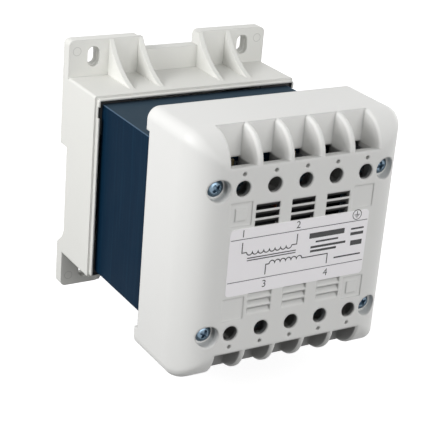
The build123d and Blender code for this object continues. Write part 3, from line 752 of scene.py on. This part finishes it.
ink = {"colour": (0.02, 0.02, 0.022), "shade": (0.03, 0.03, 0.032), "rough": (0.35, 0.5),
       "relief": 0.05}
label = {  # millimetres right of and above the middle of the rail, apart from the lift
    "lift": 0.00002,
    "numbers": [("1", -24.4, 19.9), ("2", -1.3, 20.0), ("3", -13.8, -1.1), ("4", 12.9, -1.1)],
    "numberSize": 2.9 * 1.38,
    "curveSteps": 4,
    "rules": [17.9, 1.5],  # heights of the two lines right across
    "ruleEnds": (-29.4, 29.4),
    "ruleWidth": 0.28,
    "earth": (24.4, 20.4),
    "earthRing": (1.9, 0.3),  # radius and width
    "earthStem": (0.34, 1.3),  # width and height
    "earthBars": [(0.0, 1.2), (0.5, 0.8), (1.0, 0.4)],  # drop and half length
    "earthBarHeight": 0.26,
    "lineWidth": 0.42,
    "wires": [[(-24.4, 16.6), (-24.4, 12.6), (-22.4, 12.6)],
              [(-3.4, 12.6), (-1.3, 12.6), (-1.3, 16.6)],
              [(-13.8, 2.6), (-13.8, 6.6), (-12.4, 6.6)],
              [(1.6, 6.6), (12.9, 6.6), (12.9, 2.6)]],
    "coils": [(-22.4, -3.4, 12.6, 8, -1), (-12.4, 1.6, 6.6, 6, 1)],  # ends, height, humps and side
    "coreLines": [(-22.0, -1.4, 10.2), (-22.0, -1.4, 9.3)],
    "bars": [(4.0, 19.5, 14.8, 2.1), (7.0, 17.0, 12.2, 0.7), (5.0, 20.5, 10.2, 0.9),
             (5.0, 16.5, 8.6, 0.9), (22.4, 28.2, 14.9, 0.7), (22.4, 28.2, 12.9, 1.2),
             (22.8, 28.0, 9.2, 2.0), (16.0, 28.0, 4.4, 0.6)],  # ends, height and thickness
    "ringSteps": 48,
    "humpSteps": 13,
}
printPoints, printFaces = [], []


# Flat shape on the label, kept until all print is one mesh.
def addShape(points, faces):
    start = sum(len(p) for p in printPoints)
    flat = np.asarray(points, float) / 1000
    front = np.full(len(flat), labelFront - label["lift"])
    printPoints.append(np.stack([flat[:, 0], front, flat[:, 1]], axis=-1))
    printFaces.extend([[int(i) + start for i in face] for face in faces])


# Ribbon of one width: each point is set off to both sides along the mean of its runs' normals, and
# further where the line bends.
def addStroke(points, width):
    line = np.asarray(points, float)
    run = np.diff(line, axis=0)
    run /= np.linalg.norm(run, axis=1)[:, None]
    ahead = np.vstack([run, run[-1]])
    behind = np.vstack([run[0], run])
    mean = ahead + behind
    mean /= np.linalg.norm(mean, axis=1)[:, None]
    normal = np.stack([-mean[:, 1], mean[:, 0]], axis=-1)
    stretch = 1 / np.clip((mean * ahead).sum(axis=1), 0.5, 1)
    off = normal * (width / 2 * stretch)[:, None]
    count = len(line)
    addShape(np.vstack([line + off, line - off]),
             [[i, i + 1, count + i + 1, count + i][::-1] for i in range(count - 1)])


# Rectangle between two ends, half of its height above z and half below.
def addBar(x0, x1, z, height):
    low, high = z - height / 2, z + height / 2
    addShape([(x0, low), (x1, low), (x1, high), (x0, high)], [[0, 1, 2, 3]])


# Closed ring between two circles.
def addRing(x, z, radius, width, steps):
    turn = turnsRound(steps)
    circle = np.stack([np.cos(turn), np.sin(turn)], axis=-1)
    inner, outer = circle * (radius - width / 2), circle * (radius + width / 2)
    addShape(np.vstack([inner, outer]) + (x, z), gridFaces(2, steps, closed=True)[:, ::-1])


# Row of half circles between two places, drawn as one stroke.
def addCoil(x0, x1, z, humps, side, width, steps):
    turn = np.linspace(math.pi, 0, steps)
    step = (x1 - x0) / humps
    arcs = [np.stack([x0 + (i + 0.5) * step + np.cos(turn) * step / 2,
                      z + side * np.sin(turn) * step / 2], axis=-1) for i in range(humps)]
    addStroke(np.vstack([arc[:-1] for arc in arcs] + [arcs[-1][-1:]]), width)


# Plain digits from the built-in face, made a mesh first and then put in place.
def addNumber(text, x, z, size, steps):
    data = bpy.data.curves.new("digits", "FONT")
    data.body = text
    data.align_x, data.align_y = "CENTER", "CENTER"
    data.size = size
    data.resolution_u = steps
    holder = bpy.data.objects.new("digits", data)
    bpy.context.scene.collection.objects.link(holder)
    flat = bpy.data.meshes.new_from_object(holder)
    points = np.array([v.co[:2] for v in flat.vertices]) + (x, z)
    addShape(points, [list(p.vertices) for p in flat.polygons])
    bpy.data.objects.remove(holder)


# A ring round a stem and three bars that get shorter downwards.
def addEarthSign(settings):
    x, z = settings["earth"]
    addRing(x, z, *settings["earthRing"], settings["ringSteps"])
    width, height = settings["earthStem"]
    addBar(x - width / 2, x + width / 2, z + height / 2, height)
    for drop, half in settings["earthBars"]:
        addBar(x - half, x + half, z - drop, settings["earthBarHeight"])


# Everything on the label in turn, then all of it as one mesh.
def addPrint(settings):
    width = settings["lineWidth"]
    for z in settings["rules"]:
        addBar(*settings["ruleEnds"], z, settings["ruleWidth"])
    for text, x, z in settings["numbers"]:
        addNumber(text, x, z, settings["numberSize"], settings["curveSteps"])
    addEarthSign(settings)
    for wire in settings["wires"]:
        addStroke(wire, width)
    for coil in settings["coils"]:
        addCoil(*coil, width, settings["humpSteps"])
    for x0, x1, z in settings["coreLines"]:
        addBar(x0, x1, z, width)
    for bar in settings["bars"]:
        addBar(*bar)
    addPiece("labelPrint", np.concatenate(printPoints), printFaces, grainMaterial("labelInk", ink))


addPrint(label)
print("label printed")


# Ejector marks on the ears

marks = {
    "radius": 0.0018,
    "width": 0.00022,
    "inset": 0.0034,
    "drop": 0.0045,
    "front": -0.005,  # face of the ears
    "lift": 0.00002,
    "steps": 40,
}
markFinish = {"colour": (0.52, 0.52, 0.50), "shade": (0.48, 0.48, 0.46), "rough": (0.5, 0.6),
              "relief": 0.1}


# Four flat rings, each between two circles, near the corners of the base.
def addMarks(settings):
    low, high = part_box("rear_base")
    turn = turnsRound(settings["steps"])
    circle = np.stack([np.cos(turn), np.zeros_like(turn), np.sin(turn)], axis=-1)
    inner = circle * (settings["radius"] - settings["width"])
    ring = np.vstack([inner, circle * settings["radius"]])
    ringFaces = gridFaces(2, settings["steps"], closed=True)[:, ::-1]
    front = settings["front"] - settings["lift"]
    centres = [(x, front, z) for x in (low.x + settings["inset"], high.x - settings["inset"])
               for z in (low.z + settings["drop"], high.z - settings["drop"])]
    points = np.concatenate([ring + centre for centre in centres])
    faces = np.concatenate([ringFaces + index * len(ring) for index in range(len(centres))])
    addPiece("ejectorMarks", points, faces, grainMaterial("markShade", markFinish))


addMarks(marks)
print("ejector marks made")
